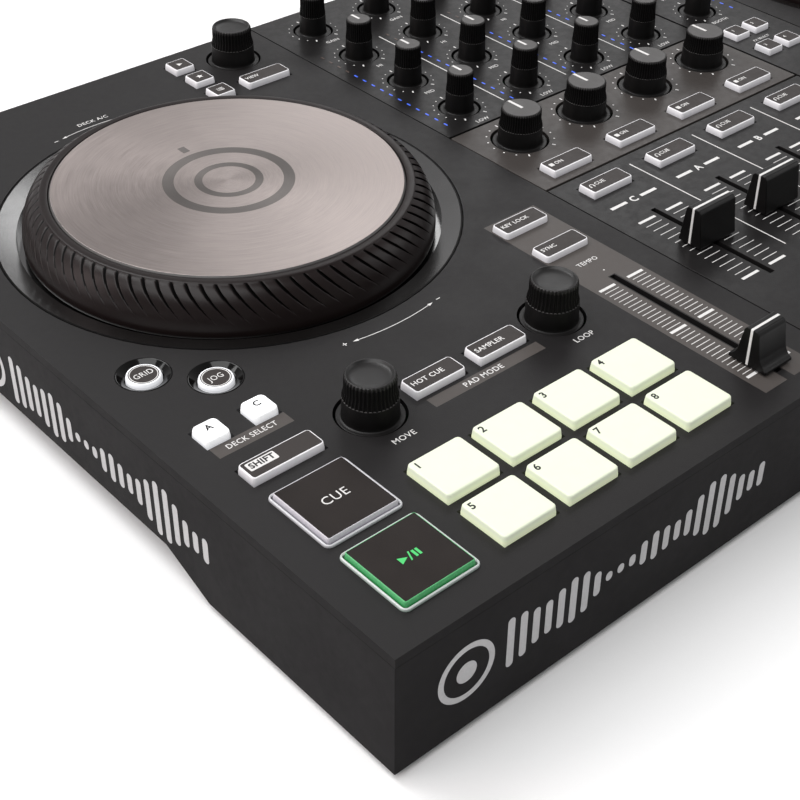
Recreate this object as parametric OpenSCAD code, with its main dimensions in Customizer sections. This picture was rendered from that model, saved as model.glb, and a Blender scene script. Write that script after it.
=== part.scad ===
// Four-channel DJ controller: two decks with jog wheels, pads and tempo faders,
// and a mixer between them. Millimetres, +Z up, origin under the middle of the case.

/* [Case] */
// overall width, side to side
case_w = 532; // [480:1:600]
// overall depth, front to back
case_d = 297; // [280:1:320]
// height of the case without its feet
case_h = 41.5; // [38:0.5:50]
// wall and floor thickness of the lower shell
wall = 3; // [2:0.5:5]
// thickness of the top cover
top_t = 3; // [2:0.5:4]
// height of the rubber feet
foot_h = 2.5; // [1:0.5:6]
// radius of the rubber feet
foot_r = 10; // [6:1:15]

/* [Side grips] */
// where a grip starts, from the front
grip_y0 = 76; // [60:1:100]
// where a grip ends, from the front
grip_y1 = 225; // [180:1:260]
// height of a grip above the underside
grip_h = 8.5; // [5:0.5:15]
// how far a grip reaches in from the side
grip_in = 28; // [15:1:40]
// length of the sloped ends
grip_slope = 22; // [5:1:30]

/* [Layout] */
// width of one deck
deck_w = 178.4; // [160:0.1:200]
// mixer width without its master column
strip_w = 138.3; // [120:0.1:150]
// front edge of the filter panel
filter_y0 = 128; // [110:1:150]
// front edge of the equaliser panel
eq_y0 = 176.8; // [160:0.1:200]
// thickness of the mixer panels
panel_t = 1.8; // [1:0.1:2.4]
// half the groove between panels
groove = 0.5; // [0.2:0.1:0.8]
// first channel, from the left edge
ch_x0 = 197.6; // [190:0.1:205]
// spacing of the channels
ch_dx = 33.4; // [30:0.1:40]
// equaliser row nearest the front
eq_row = 192.2; // [185:0.1:200]
// spacing of the equaliser rows
eq_dy = 29; // [25:0.1:32]
// row of the filter knobs
filter_row = 160.2; // [150:0.1:170]
// row of the channel-on buttons
on_row = 136.6; // [130:0.1:145]
// row of the headphone cue buttons
hp_row = 117.7; // [110:0.1:125]
// middle of the master column
master_x = 332.7; // [325:0.1:345]

/* [Knobs] */
// radius of an equaliser knob's hole
eq_hole_r = 8; // [7:0.1:9]
// radius of an equaliser knob at its foot
eq_r = 5.3; // [4:0.1:6.5]
// height of an equaliser knob above the panel
eq_h = 15.2; // [12:0.1:18]
// radius of a filter knob's or encoder's hole
big_hole_r = 10.6; // [9:0.1:12]
// radius of a filter knob at its foot
filter_r = 8; // [6:0.1:9]
// height of a filter knob above the panel
filter_h = 12.6; // [10:0.1:16]
// radius of an encoder knob at its foot
enc_r = 8.2; // [6:0.1:9]
// height of an encoder knob above the panel
enc_h = 13.7; // [10:0.1:16]
// shaft radius
shaft_r = 3; // [2:0.1:3.2]

/* [Jog wheels] */
// jog centre from the deck's left edge
jog_x = 88.5; // [80:0.1:95]
// jog centre from the front
jog_y = 185; // [170:1:200]
// radius of the well in the cover
well_r = 76.4; // [70:0.1:80]
// outer radius of the wheel's rim
ring_r = 67.6; // [60:0.1:70]
// radius of the rim at its top
ring_top_r = 60.6; // [55:0.1:66]
// radius of the metal top plate
plate_r = 57.6; // [50:0.1:60]
// height of the wheel above the cover
jog_h = 12.9; // [8:0.1:18]

/* [Faders] */
// travel of a channel fader
fader_travel = 43.5; // [30:0.5:60]
// front end of a channel fader's scale
fader_y0 = 49.6; // [40:0.1:60]
// where the channel faders stand
fader_y = 73.3; // [50:0.1:93]
// travel of a tempo fader
tempo_travel = 58; // [45:0.5:100]
// front end of the tempo scale
tempo_y0 = 15.8; // [10:0.1:30]
// where the tempo faders stand
tempo_y = 19.2; // [16:0.1:73]
// tempo slot from the deck's left edge
tempo_x = 157.2; // [150:0.1:165]
// distance of the crossfader from the front
cross_y = 22; // [15:1:30]
// width of the slots
slot_w = 2.2; // [1.5:0.1:3]

/* [Buttons] */
// height of the small caps above the panel
cap_h = 2.1; // [1:0.1:4]
// height of the pads above the panel
pad_h = 2.6; // [1:0.1:5]
// pad width
pad_w = 19.2; // [16:0.1:22]
// pad depth
pad_d = 17.1; // [14:0.1:20]
// pad spacing across
pad_dx = 23.4; // [20:0.1:26]
// pad spacing front to back
pad_dy = 20.9; // [18:0.1:24]
// side of the play and cue caps
play_s = 23.6; // [18:0.1:25]
// side of the clear frame round them
frame_s = 25.8; // [22:0.1:28]
// gap round every cap
gap = 0.35; // [0.3:0.05:0.6]

/* [Hidden] */
$fn = 96;

top_z = foot_h + case_h;
base_z = foot_h;
right_x = case_w - deck_w;
master_x0 = deck_w + strip_w;
deck_x = [0, right_x];
board_t = 1.6;
board_z = -14.6;
bay_z = -12.9;
cap_depth = -5.2;
switch_top = -6.5;

black = [0.10, 0.10, 0.10];
panel_grey = [0.16, 0.155, 0.15];
knob_col = [0.05, 0.05, 0.05];
cap_white = [0.85, 0.85, 0.88];
pad_white = [0.92, 0.95, 0.82];
steel = [0.6, 0.6, 0.62];
board_green = [0.05, 0.25, 0.12];
alloy = [0.62, 0.58, 0.56];
rubber = [0.08, 0.08, 0.08];
clear = [0.8, 0.82, 0.85];

// [x, y, foot width, foot depth] of each rectangular deck button
deck_caps = [
    [24.1, 74, 24.2, 8], [78.2, 73.9, 19.2, 8], [102.8, 73.9, 19.2, 8],
    [156, 117.7, 19.2, 8], [156, 99.4, 19.2, 8], [156.8, 257.5, 19.6, 8],
    [136.6, 284.2, 8.6, 8.4], [136.5, 270.9, 8.6, 8.4], [136.4, 257.4, 8.6, 8.4],
    [15.9, 94.6, 8.4, 8.5], [32.1, 94.6, 8.4, 8.5]
];
// the two round deck buttons stand in shallow dishes
round_caps = [[17.3, 129.5], [32.1, 115]];
dish_r = 8.1;
round_r = 5.3;
round_h = 0.1;
pad_x0 = 55.2;
pad_y0 = 19.4;
cue_pos = [24.1, 51.4];
play_pos = [24.1, 22.3];
move_pos = [54.9, 73.9];
loop_pos = [126.7, 74.3];
browse_pos = [157.8, 278.8];

// [x, y, foot width, foot depth] of each mixer button
mixer_caps = concat(
    [for (i = [0:3]) [ch_x0 - 0.6 + i * ch_dx, on_row, 19.2, 8.1]],
    [for (i = [0:3]) [ch_x0 - 0.6 + i * ch_dx, hp_row, 19.2, 8.1]],
    [for (x = [-6, 6], y = [149.8, 166.4, 262, 278]) [master_x + x, y, 8.6, 8.2]]
);
// every small knob of the mixer: four channels of four, then the master column
small_knobs = concat(
    [for (i = [0:3], k = [0:3]) [ch_x0 + i * ch_dx, eq_row + k * eq_dy]],
    [[master_x, eq_row + eq_dy], [master_x, eq_row], [335.2, 104], [335.2, 72]]
);
filters = [for (i = [0:3]) [ch_x0 + i * ch_dx, filter_row]];
bosses = [
    [172, 8], [360, 8], [172, 150], [360, 150], [172, 288], [360, 288],
    [8, 288], [524, 288], [7.4, 68], [524.6, 68], [215, 8], [281, 8]
];
xlr_x = [60, 92];
jack_x = [190, 210, 230];
usb_x = 300;
dc_x = 330;
phones_x = [420, 442];
socket_z = -25.5;

// ---------- helpers ----------

// place a thing by its distance from the front left corner of the top face
module at(x, y, z = 0) {
    translate([x - case_w / 2, y - case_d / 2, top_z + z]) children();
}

// a block given by its middle in x and y, and by its two heights
module block(x, y, w, d, z0, z1) {
    at(x - w / 2, y - d / 2, z0) cube([w, d, z1 - z0]);
}

// a post given by its middle and its two heights
module post(x, y, r, z0, z1) {
    at(x, y, z0) cylinder(r = r, h = z1 - z0);
}

// a post lying front to back, from y0 to y1
module lying_post(x, y0, y1, z, r) {
    at(x, y0, z) rotate([-90, 0, 0]) cylinder(r = r, h = y1 - y0);
}

// a key cap: straight below the panel, tapered above it, corners cut
module cap(x, y, w, d, h, taper, cut) {
    at(x, y) intersection() {
        translate([0, 0, cap_depth]) linear_extrude(h - cap_depth) polygon([
            [-w / 2 + cut, -d / 2], [w / 2 - cut, -d / 2], [w / 2, -d / 2 + cut],
            [w / 2, d / 2 - cut], [w / 2 - cut, d / 2], [-w / 2 + cut, d / 2],
            [-w / 2, d / 2 - cut], [-w / 2, -d / 2 + cut]
        ]);
        rotate([90, 0, 0]) translate([0, 0, -d]) linear_extrude(2 * d) polygon([
            [-w / 2, cap_depth], [w / 2, cap_depth], [w / 2, 0.2], [w / 2 - taper, h],
            [-w / 2 + taper, h], [-w / 2, 0.2]
        ]);
        rotate([90, 0, 90]) translate([0, 0, -w]) linear_extrude(2 * w) polygon([
            [-d / 2, cap_depth], [d / 2, cap_depth], [d / 2, 0.2], [d / 2 - taper, h],
            [-d / 2 + taper, h], [-d / 2, 0.2]
        ]);
    }
}

// a round key cap
module round_cap(x, y) {
    at(x, y) rotate_extrude() polygon([
        [0, cap_depth], [round_r, cap_depth], [round_r, -1.2], [round_r - 0.7, round_h],
        [0, round_h]
    ]);
}

// a knob on its shaft: skirt in the hole, body, chamfered top, optional dish on top
module knob(x, y, hole_r, r, h, dish = 0) {
    top_r = r - 0.5;
    at(x, y) rotate_extrude() polygon([
        [0, -12], [shaft_r, -12], [shaft_r, -2.4], [hole_r - 0.7, -2.4], [hole_r - 0.7, -0.5],
        [r + 0.9, 0.1], [r, 0.8], [top_r, h - 0.8], [top_r - 0.8, h], [top_r - 1.6, h],
        [0, h - dish]
    ]);
}

// a fader cap on its stem, sliding front to back; w across, foot and top front to back
module fader_cap(w, foot, neck, tip, h) {
    translate([-w / 2, 0, 0]) rotate([90, 0, 90]) linear_extrude(w) polygon([
        [-foot / 2, 0.6], [foot / 2, 0.6], [foot / 2, 1.8], [neck / 2, 5],
        [tip / 2, h - 0.8], [tip / 2 - 0.8, h], [-tip / 2 + 0.8, h], [-tip / 2, h - 0.8],
        [-neck / 2, 5], [-foot / 2, 1.8]
    ]);
    translate([-0.6, -2.5, -10]) cube([1.2, 5, 10.7]);
}

// the track under a fader's slot, front to back
module track(travel) {
    difference() {
        translate([-5.5, -travel / 2 - 11, bay_z]) cube([11, travel + 22, 9.5]);
        translate([-1.2, -travel / 2 - 4, -11]) cube([2.4, travel + 8, 12]);
    }
}

// the side grip as a solid, made larger by g
module grip(g) {
    s = grip_slope;
    rotate([90, 0, 90]) linear_extrude(grip_in + 1 + g) polygon([
        [grip_y0 - g, -1], [grip_y1 + g, -1], [grip_y1 - s + g, grip_h + g],
        [grip_y0 + s - g, grip_h + g]
    ]);
}

module both_grips(g) {
    at(-1, 0, -case_h) grip(g);
    at(case_w - grip_in - g, 0, -case_h) grip(g);
}

// ---------- the shell ----------

module bottom_case() color(black) {
    difference() {
        block(case_w / 2, case_d / 2, case_w, case_d, -case_h, -top_t);
        difference() {
            block(case_w / 2, case_d / 2, case_w - 2 * wall, case_d - 2 * wall,
                -case_h + wall, 1);
            both_grips(wall);
        }
        both_grips(0);
        for (p = bosses) {
            post(p[0], p[1], 1.8, -case_h - 1, -case_h + wall + 1);
            post(p[0], p[1], 3.4, -case_h - 1, -case_h + 1.6);
        }
        for (x = xlr_x) lying_post(x, case_d - wall - 1, case_d + 1, socket_z + 2, 11.6);
        for (x = jack_x) lying_post(x, case_d - wall - 1, case_d + 1, socket_z, 6.9);
        block(usb_x, case_d, 14.8, 10, socket_z - 6.9, socket_z + 6.9);
        block(dc_x, case_d, 10.8, 10, socket_z - 5.9, socket_z + 5.9);
        lying_post(phones_x[0], -1, wall + 1, socket_z, 6.9);
        lying_post(phones_x[1], -1, wall + 1, socket_z, 4.4);
    }
}

module top_case() color(black) {
    difference() {
        union() {
            block(case_w / 2, case_d / 2, case_w, case_d, -top_t, 0);
            difference() {
                block(case_w / 2, case_d / 2, case_w - 2 * wall - 0.6, case_d - 2 * wall - 0.6,
                    -top_t - 3.5, -top_t);
                block(case_w / 2, case_d / 2, case_w - 2 * wall - 3.6, case_d - 2 * wall - 3.6,
                    -top_t - 4, -top_t + 0.1);
            }
            for (p = bosses) post(p[0], p[1], 3.4, -case_h + wall + 0.2, -top_t + 0.1);
        }
        for (p = bosses) post(p[0], p[1], 1.5, -case_h + wall, -case_h + wall + 12);
        // the recess and window that the mixer panels cover
        at(deck_w, -1, -panel_t) cube([right_x - deck_w, case_d + 2, 5]);
        at(deck_w + 4, 12, -5) cube([right_x - deck_w - 8, case_d - 20, 8]);
        for (x0 = deck_x) {
            post(x0 + jog_x, jog_y, well_r + 0.3, -5, 1);
            for (c = deck_caps) {
                block(x0 + c[0], c[1], c[2] + 2 * gap, c[3] + 2 * gap, -5, 1);
            }
            for (c = round_caps) post(x0 + c[0], c[1], dish_r + 0.1, -5, 1);
            for (i = [0:3], j = [0:1]) {
                block(x0 + pad_x0 + i * pad_dx, pad_y0 + j * pad_dy,
                    pad_w + 2 * gap, pad_d + 2 * gap, -5, 1);
            }
            for (p = [cue_pos, play_pos]) {
                block(x0 + p[0], p[1], play_s + 2 * gap, play_s + 2 * gap, -5, 1);
            }
            for (p = [move_pos, loop_pos, browse_pos]) {
                post(x0 + p[0], p[1], big_hole_r, -5, 1);
            }
            block(x0 + tempo_x, tempo_y0 + tempo_travel / 2, slot_w, tempo_travel + 8, -5, 1);
        }
    }
}

// a mixer panel between two corners, before its holes are cut
module panel(x0, y0, x1, y1) {
    at(x0 + groove, y0, -panel_t + 0.05) {
        cube([x1 - x0 - 2 * groove, y1 - y0, panel_t - 0.05]);
    }
}

module mixer_plates() color(panel_grey) {
    difference() {
        union() {
            panel(deck_w, eq_y0 + groove, master_x0, case_d);
            panel(deck_w, filter_y0 + groove, master_x0, eq_y0 - groove);
            panel(deck_w, 0, master_x0, filter_y0 - groove);
            panel(master_x0, 0, right_x, case_d);
        }
        for (p = small_knobs) post(p[0], p[1], eq_hole_r, -4, 1);
        for (p = filters) post(p[0], p[1], big_hole_r, -4, 1);
        for (c = mixer_caps) block(c[0], c[1], c[2] + 2 * gap, c[3] + 2 * gap, -4, 1);
        for (i = [0:3]) {
            block(ch_x0 + i * ch_dx, fader_y0 + fader_travel / 2, slot_w, fader_travel + 7, -4, 1);
        }
        block(ch_x0 + 1.5 * ch_dx, cross_y, fader_travel + 7, slot_w, -4, 1);
    }
}

module jog_wells() color(black) {
    for (x0 = deck_x) {
        at(x0 + jog_x, jog_y) rotate_extrude() polygon([
            [0, -6.5], [well_r, -6.5], [well_r, 0], [well_r - 0.6, 0], [well_r - 6.8, -1.4],
            [well_r - 6.8, -5], [5.5, -5], [5.5, jog_h - 2.4], [0, jog_h - 2.4]
        ]);
    }
}

// ---------- inside the case ----------

module circuit_boards() color(board_green) {
    difference() {
        union() {
            for (x0 = deck_x) {
                at(x0 + 6, 6, board_z) cube([166, 266, board_t]);
                at(x0 + 126, 270, board_z) cube([46, 20, board_t]);
            }
            at(182, 6, board_z) cube([168, 284, board_t]);
        }
        for (p = bosses) post(p[0], p[1], 4.2, board_z - 1, board_z + 3);
    }
}

// the body of a pot or encoder round a knob's shaft
module pot(x, y) {
    difference() {
        union() {
            block(x, y, 10, 10, bay_z, -5.6);
            post(x, y, 4.4, -6, -3.4);
        }
        post(x, y, shaft_r + 0.3, -12.4, -3);
    }
}

// the push switch under a cap
module tact(x, y) {
    block(x, y, 6, 6, bay_z, switch_top);
}

module control_bodies() color(steel) {
    for (p = small_knobs) pot(p[0], p[1]);
    for (p = filters) pot(p[0], p[1]);
    for (c = mixer_caps) tact(c[0], c[1]);
    for (i = [0:3]) at(ch_x0 + i * ch_dx, fader_y0 + fader_travel / 2) track(fader_travel);
    at(ch_x0 + 1.5 * ch_dx, cross_y) rotate([0, 0, 90]) track(fader_travel);
    for (x0 = deck_x) {
        for (p = [move_pos, loop_pos, browse_pos]) pot(x0 + p[0], p[1]);
        for (c = deck_caps) tact(x0 + c[0], c[1]);
        for (p = concat(round_caps, [cue_pos, play_pos])) tact(x0 + p[0], p[1]);
        for (i = [0:3], j = [0:1]) tact(x0 + pad_x0 + i * pad_dx, pad_y0 + j * pad_dy);
        at(x0 + tempo_x, tempo_y0 + tempo_travel / 2) track(tempo_travel);
    }
}

// ---------- feet, screws, sockets, clear trim ----------

module rubber_feet() color(rubber) {
    for (p = [[25, 25], [507, 25], [25, 272], [507, 272], [266, 40], [266, 250]]) {
        at(p[0], p[1], -case_h - foot_h) rotate_extrude() polygon([
            [0, 0], [foot_r - 0.6, 0], [foot_r, 0.6], [foot_r, foot_h], [0, foot_h]
        ]);
    }
}

module case_screws() color(steel) {
    for (p = bosses) {
        at(p[0], p[1], -case_h) difference() {
            rotate_extrude() polygon([
                [0, 0.1], [2.6, 0.1], [3.1, 0.5], [3.1, 1.5], [1.35, 1.5], [1.35, 13], [0, 13.8]
            ]);
            translate([-2, -0.35, -1]) cube([4, 0.7, 1.7]);
            translate([-0.35, -2, -1]) cube([0.7, 4, 1.7]);
        }
    }
}

// a jack with a bore from y_face inwards; dir is 1 at the back and -1 at the front
module jack(x, y_face, dir, r, bore_r, depth) {
    at(x, y_face, socket_z) rotate([dir * 90, 0, 0]) difference() {
        cylinder(r = r, h = depth + 4);
        translate([0, 0, -1]) cylinder(r = bore_r, h = depth + 1);
    }
}

module sockets() color(black) {
    for (x = xlr_x) {
        at(x, case_d - 0.3, socket_z + 2) rotate([90, 0, 0]) {
            difference() {
                cylinder(r = 11.2, h = 22);
                translate([0, 0, -1]) cylinder(r = 9.4, h = 19);
            }
            for (a = [30, 150, 270]) {
                rotate([0, 0, a]) translate([4.6, 0, 7]) cylinder(r = 1.2, h = 12);
            }
        }
    }
    for (x = jack_x) jack(x, case_d - 0.3, 1, 6.5, 3.3, 22);
    jack(phones_x[0], 0.3, -1, 6.5, 3.3, 22);
    jack(phones_x[1], 0.3, -1, 4, 1.8, 14);
    difference() {
        block(usb_x, case_d - 8.8, 14, 17, socket_z - 6.5, socket_z + 6.5);
        block(usb_x, case_d - 4.8, 8.6, 10, socket_z - 3.9, socket_z + 3.9);
    }
    block(usb_x, case_d - 7.3, 5.6, 5.2, socket_z - 1.6, socket_z + 1.6);
    difference() {
        block(dc_x, case_d - 7.8, 10, 15, socket_z - 5.5, socket_z + 5.5);
        lying_post(dc_x, case_d - 9.3, case_d + 1, socket_z, 2.9);
    }
    lying_post(dc_x, case_d - 9.6, case_d - 1.3, socket_z, 1);
}

// one clear frame round a play or cue cap
module bezel(x, y) {
    inner = play_s + 2 * gap;
    at(x, y) difference() {
        linear_extrude(0.9) polygon([
            [-frame_s / 2 + 1.4, -frame_s / 2], [frame_s / 2 - 1.4, -frame_s / 2],
            [frame_s / 2, -frame_s / 2 + 1.4], [frame_s / 2, frame_s / 2 - 1.4],
            [frame_s / 2 - 1.4, frame_s / 2], [-frame_s / 2 + 1.4, frame_s / 2],
            [-frame_s / 2, frame_s / 2 - 1.4], [-frame_s / 2, -frame_s / 2 + 1.4]
        ]);
        translate([-inner / 2, -inner / 2, -1]) cube([inner, inner, 4]);
    }
}

// one glossy dish round a round cap
module dish(x, y) {
    at(x, y) rotate_extrude() polygon([
        [round_r + gap, -2.9], [dish_r, -2.9], [dish_r, 0.1], [dish_r - 0.35, 0.1],
        [round_r + gap, -1.3]
    ]);
}

module light_guides() color(clear) {
    for (x0 = deck_x) {
        bezel(x0 + cue_pos[0], cue_pos[1]);
        bezel(x0 + play_pos[0], play_pos[1]);
        for (c = round_caps) dish(x0 + c[0], c[1]);
    }
    // the level meters, fifteen windows each
    for (x = concat([for (i = [0:3]) ch_x0 + i * ch_dx - 13], [master_x + 14]), k = [0:14]) {
        block(x, 185.4 + k * 5.1, 0.8, 2.5, 0, 0.15);
    }
}

// ---------- jog wheels ----------

module jog_ring(x0) {
    at(x0 + jog_x, jog_y) rotate_extrude() polygon([
        [5.9, 0], [8.5, 0], [8.5, jog_h - 3.7], [ring_top_r - 3.6, jog_h - 3.7],
        [ring_r - 3.6, -3], [ring_r, -3], [ring_r, -1.6], [ring_r - 0.6, 3.2],
        [ring_r - 2.3, 7.8], [ring_r - 4.4, jog_h - 2.5], [ring_top_r, jog_h - 1],
        [ring_top_r - 0.6, jog_h - 0.3], [plate_r + 0.15, jog_h - 0.3],
        [plate_r + 0.15, jog_h - 1.7], [5.9, jog_h - 1.7]
    ]);
}

module jog_plate(x0) {
    at(x0 + jog_x, jog_y) rotate_extrude() polygon([
        [0, jog_h - 1.65], [plate_r, jog_h - 1.65], [plate_r, jog_h - 0.3],
        [plate_r - 0.3, jog_h], [0, jog_h]
    ]);
}

module jog_ring_left() color(black) jog_ring(0);
module jog_ring_right() color(black) jog_ring(right_x);
module jog_plate_left() color(alloy) jog_plate(0);
module jog_plate_right() color(alloy) jog_plate(right_x);

// ---------- knobs ----------

module encoder(x0, p) knob(x0 + p[0], p[1], big_hole_r, enc_r, enc_h, 1);
module eq_knob(i) knob(small_knobs[i][0], small_knobs[i][1], eq_hole_r, eq_r, eq_h);
module filter_knob(i) knob(filters[i][0], filters[i][1], big_hole_r, filter_r, filter_h);

module browse_left() color(knob_col) encoder(0, browse_pos);
module browse_right() color(knob_col) encoder(right_x, browse_pos);
module loop_left() color(knob_col) encoder(0, loop_pos);
module loop_right() color(knob_col) encoder(right_x, loop_pos);
module move_left() color(knob_col) encoder(0, move_pos);
module move_right() color(knob_col) encoder(right_x, move_pos);

module low_c() color(knob_col) eq_knob(0);
module mid_c() color(knob_col) eq_knob(1);
module hi_c() color(knob_col) eq_knob(2);
module gain_c() color(knob_col) eq_knob(3);
module low_a() color(knob_col) eq_knob(4);
module mid_a() color(knob_col) eq_knob(5);
module hi_a() color(knob_col) eq_knob(6);
module gain_a() color(knob_col) eq_knob(7);
module low_b() color(knob_col) eq_knob(8);
module mid_b() color(knob_col) eq_knob(9);
module hi_b() color(knob_col) eq_knob(10);
module gain_b() color(knob_col) eq_knob(11);
module low_d() color(knob_col) eq_knob(12);
module mid_d() color(knob_col) eq_knob(13);
module hi_d() color(knob_col) eq_knob(14);
module gain_d() color(knob_col) eq_knob(15);
module main_level() color(knob_col) eq_knob(16);
module booth_level() color(knob_col) eq_knob(17);
module cue_mix() color(knob_col) eq_knob(18);
module phones_level() color(knob_col) eq_knob(19);
module filter_c() color(knob_col) filter_knob(0);
module filter_a() color(knob_col) filter_knob(1);
module filter_b() color(knob_col) filter_knob(2);
module filter_d() color(knob_col) filter_knob(3);

// ---------- faders ----------

module tempo_fader(x0) at(x0 + tempo_x, tempo_y) fader_cap(12.4, 14, 8.4, 5.6, 13.4);
module channel_fader(i) at(ch_x0 + i * ch_dx, fader_y) fader_cap(17.6, 9.4, 8.4, 6, 14);

module tempo_left() color(knob_col) tempo_fader(0);
module tempo_right() color(knob_col) tempo_fader(right_x);
module fader_c() color(knob_col) channel_fader(0);
module fader_a() color(knob_col) channel_fader(1);
module fader_b() color(knob_col) channel_fader(2);
module fader_d() color(knob_col) channel_fader(3);
module crossfader() color(knob_col) {
    at(ch_x0 + 1.5 * ch_dx, cross_y) rotate([0, 0, 90]) fader_cap(17.6, 9.4, 8.4, 6, 14);
}

// ---------- buttons ----------

module transport(x0, p) cap(x0 + p[0], p[1], play_s, play_s, cap_h - 0.1, 0.35, 0.6);
module pads(x0) {
    for (i = [0:3], j = [0:1]) {
        cap(x0 + pad_x0 + i * pad_dx, pad_y0 + j * pad_dy, pad_w, pad_d, pad_h, 0.3, 1);
    }
}
module deck_buttons(x0) {
    for (c = deck_caps) {
        cap(x0 + c[0], c[1], c[2], c[3], cap_h, 0.3, c[2] < 10 && c[1] < 100 ? 1.4 : 0.7);
    }
    for (c = round_caps) round_cap(x0 + c[0], c[1]);
}

module cue_left() color(cap_white) transport(0, cue_pos);
module play_left() color(cap_white) transport(0, play_pos);
module cue_right() color(cap_white) transport(right_x, cue_pos);
module play_right() color(cap_white) transport(right_x, play_pos);
module pads_left() color(pad_white) pads(0);
module pads_right() color(pad_white) pads(right_x);
module deck_buttons_left() color(cap_white) deck_buttons(0);
module deck_buttons_right() color(cap_white) deck_buttons(right_x);
module mixer_buttons() color(cap_white) {
    for (c = mixer_caps) cap(c[0], c[1], c[2], c[3], cap_h, 0.3, 0.7);
}

bottom_case();
top_case();
mixer_plates();
jog_wells();
circuit_boards();
control_bodies();
rubber_feet();
case_screws();
sockets();
light_guides();
jog_ring_left();
jog_plate_left();
jog_ring_right();
jog_plate_right();
browse_left();
browse_right();
loop_left();
loop_right();
move_left();
move_right();
tempo_left();
tempo_right();
fader_c();
fader_a();
fader_b();
fader_d();
crossfader();
gain_c();
hi_c();
mid_c();
low_c();
gain_a();
hi_a();
mid_a();
low_a();
gain_b();
hi_b();
mid_b();
low_b();
gain_d();
hi_d();
mid_d();
low_d();
filter_c();
filter_a();
filter_b();
filter_d();
main_level();
booth_level();
cue_mix();
phones_level();
cue_left();
play_left();
cue_right();
play_right();
pads_left();
pads_right();
deck_buttons_left();
deck_buttons_right();
mixer_buttons();
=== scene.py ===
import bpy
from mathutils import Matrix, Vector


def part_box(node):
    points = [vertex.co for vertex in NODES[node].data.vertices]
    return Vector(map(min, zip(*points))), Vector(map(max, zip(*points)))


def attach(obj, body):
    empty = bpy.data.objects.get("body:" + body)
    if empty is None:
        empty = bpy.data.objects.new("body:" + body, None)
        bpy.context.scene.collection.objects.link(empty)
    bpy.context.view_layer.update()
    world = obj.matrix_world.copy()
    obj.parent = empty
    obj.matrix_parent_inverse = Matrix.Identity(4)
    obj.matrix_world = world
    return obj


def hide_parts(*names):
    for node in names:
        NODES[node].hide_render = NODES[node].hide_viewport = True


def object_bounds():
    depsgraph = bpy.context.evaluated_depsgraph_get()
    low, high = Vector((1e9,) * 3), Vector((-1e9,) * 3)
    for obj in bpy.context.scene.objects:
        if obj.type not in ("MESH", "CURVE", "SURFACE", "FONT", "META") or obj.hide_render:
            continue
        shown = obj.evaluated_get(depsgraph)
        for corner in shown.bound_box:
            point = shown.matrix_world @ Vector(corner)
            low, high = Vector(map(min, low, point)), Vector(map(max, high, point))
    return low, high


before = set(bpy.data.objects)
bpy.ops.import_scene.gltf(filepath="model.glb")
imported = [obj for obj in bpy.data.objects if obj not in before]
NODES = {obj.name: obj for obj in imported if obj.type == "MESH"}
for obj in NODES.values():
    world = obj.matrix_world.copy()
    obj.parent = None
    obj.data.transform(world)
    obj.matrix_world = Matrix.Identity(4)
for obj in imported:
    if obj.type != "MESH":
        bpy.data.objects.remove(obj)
CAD_BOX = [list(map(float, c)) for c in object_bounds()]

import math
import bpy
import bmesh
from mathutils import Matrix, Vector

MM = 0.001
LO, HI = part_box("top_case")
TOP = HI.z
CASE_W, CASE_D = (HI.x - LO.x) / MM, (HI.y - LO.y) / MM
DECK_STEP = (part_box("jog_plate_right")[0].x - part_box("jog_plate_left")[0].x) / MM
SIDES = (("left", 0.0), ("right", DECK_STEP))

# The layout of the top face in mm: x from its left edge, y from its front edge.
JOG = (88.5, 185.0)
ROUND_CAPS = ((17.3, 129.5, "GRID"), (32.1, 115.0, "JOG"))
TEMPO_X, TEMPO_Y, TEMPO_SCALE = 157.2, 15.8, 58.0
CHANNELS = "cabd"
CHANNEL_X = [197.6 + 33.4 * i for i in range(4)]
EQ_Y = [192.2 + 29 * k for k in range(4)]
FILTER_Y = 160.2
FADER_Y, FADER_SCALE = 49.6, 43.5
MASTER_X, PHONES_X = 332.7, 335.2
PANEL_X, PANEL_W = 178.4, 138.3
BAND_Y = (128.0, 176.8)
# Printing stands this far below and above the top face, in mm.
PRINT_LOW, PRINT_HIGH = -0.01, 0.035


def W(x, y, z=0.0):
    """A point given in mm from the front left corner of the top face."""
    return Vector((LO.x + x * MM, LO.y + y * MM, TOP + z * MM))


def centre(node):
    """The middle of a CAD node's box."""
    a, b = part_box(node)
    return (a + b) / 2


# ---------------------------------------------------------------- camera, light, floor
scene = bpy.context.scene
scene.view_settings.view_transform = "Standard"
cam_data = bpy.data.cameras.new("camera")
cam_data.sensor_width = 36.0
cam_data.lens = 69.83
cam_data.shift_x = -0.05
cam_data.shift_y = -0.005
cam_data.clip_start = 0.01
cam_data.clip_end = 20.0
cam = bpy.data.objects.new("camera", cam_data)
cam.location = (-0.42716, -0.33402, 0.31088)
cam.rotation_euler = [math.radians(a) for a in (52.3092, -1.1419, -42.1512)]
scene.collection.objects.link(cam)
scene.camera = cam


def area(name, loc, target, size, size_y, power, colour=(1, 1, 1)):
    """A rectangular soft box that faces its target."""
    light = bpy.data.lights.new(name, "AREA")
    light.shape = "RECTANGLE"
    light.size, light.size_y = size, size_y
    light.energy = power
    light.color = colour
    ob = bpy.data.objects.new(name, light)
    ob.location = loc
    ob.rotation_euler = (Vector(target) - Vector(loc)).to_track_quat("-Z", "Y").to_euler()
    scene.collection.objects.link(ob)


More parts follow.
